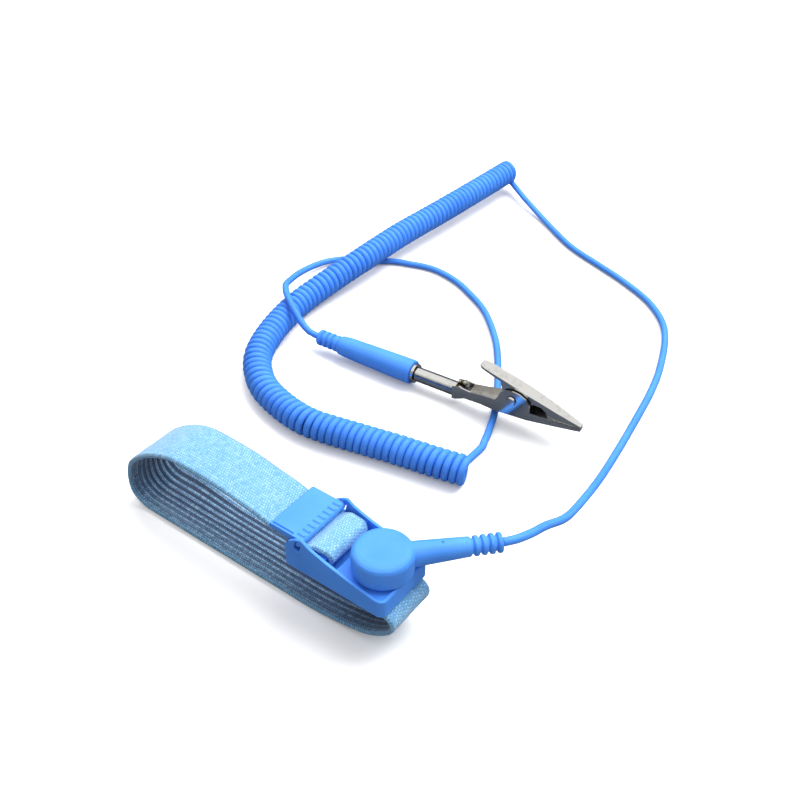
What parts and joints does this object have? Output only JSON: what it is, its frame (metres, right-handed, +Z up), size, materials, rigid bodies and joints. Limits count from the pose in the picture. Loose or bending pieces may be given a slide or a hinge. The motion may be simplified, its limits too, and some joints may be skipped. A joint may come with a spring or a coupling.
{
  "type": "esd wrist strap",
  "caption": "Adjustable elastic wrist band with a cam buckle and snap stud, a coiled earth cord, and a plug with a spring clip.",
  "frame": {"origin": "on the flat underside of the band's lower run, midway along the band and at the middle of its width, at the level of the surface it lies on", "axes": "+Z up out of that surface, +X along the band towards the snap stud, +Y towards the side the cord lies on"},
  "size_m": [0.148, 0.225, 0.0274],
  "materials": {
    "blue_plastic": "semi-gloss moulded",
    "cord_jacket": "satin extruded jacket",
    "fabric": "fine knit",
    "nickel": "bright nickel plate",
    "stainless": "brushed",
    "brass": "bright",
    "resistor_tan": "matt lacquer"
  },
  "bodies": {
    "wristband": {"elastic_band": "fabric", "buckle_base": "blue_plastic", "contact_plate": "stainless", "stud_rivet": "nickel", "snap_stud": "nickel"},
    "flap": {"clamp_flap": "blue_plastic"},
    "cord": {"lead_1": "cord_jacket", "coil": "cord_jacket", "lead_2": "cord_jacket", "banana_boot": "blue_plastic", "banana_pin": "nickel", "banana_leaves": "brass"},
    "snap_head": {"snap_cap": "blue_plastic", "snap_socket": "nickel", "ring_spring": "brass", "resistor": "resistor_tan", "resistor_lead_inner": "nickel", "resistor_lead_outer": "nickel", "crimp_sleeve": "nickel"},
    "clip": {"clip_lower_jaw": "nickel", "clip_pin": "nickel", "clip_spring": "stainless"},
    "jaw": {"clip_upper_jaw": "nickel"}
  },
  "joints": [
    {"name": "flap_open", "type": "hinge", "parent": "wristband", "child": "flap", "pos_m": [0.0189, 0, 0.024], "axis": [0, 1, 0], "range_deg": [0, 100]},
    {"name": "snap_swivel", "type": "hinge", "parent": "wristband", "child": "cord", "pos_m": [0.038, 0, 0.0206], "axis": [0, 0, 1], "range_deg": [-115, 20]},
    {"name": "snap_pull", "type": "slide", "parent": "cord", "child": "snap_head", "axis": [0, 0, 1], "range_m": [0, 0.006]},
    {"name": "clip_pull", "type": "slide", "parent": "cord", "child": "clip", "axis": [0.9966, 0.0819, 0], "range_m": [0, 0.016]},
    {"name": "jaw_open", "type": "hinge", "parent": "clip", "child": "jaw", "pos_m": [0.02268, 0.08619, 0.011], "axis": [0.0819, -0.9966, 0], "range_deg": [0, 30], "stiffness_Nm_per_rad": 0.1, "springref_deg": -34.38}
  ]
}
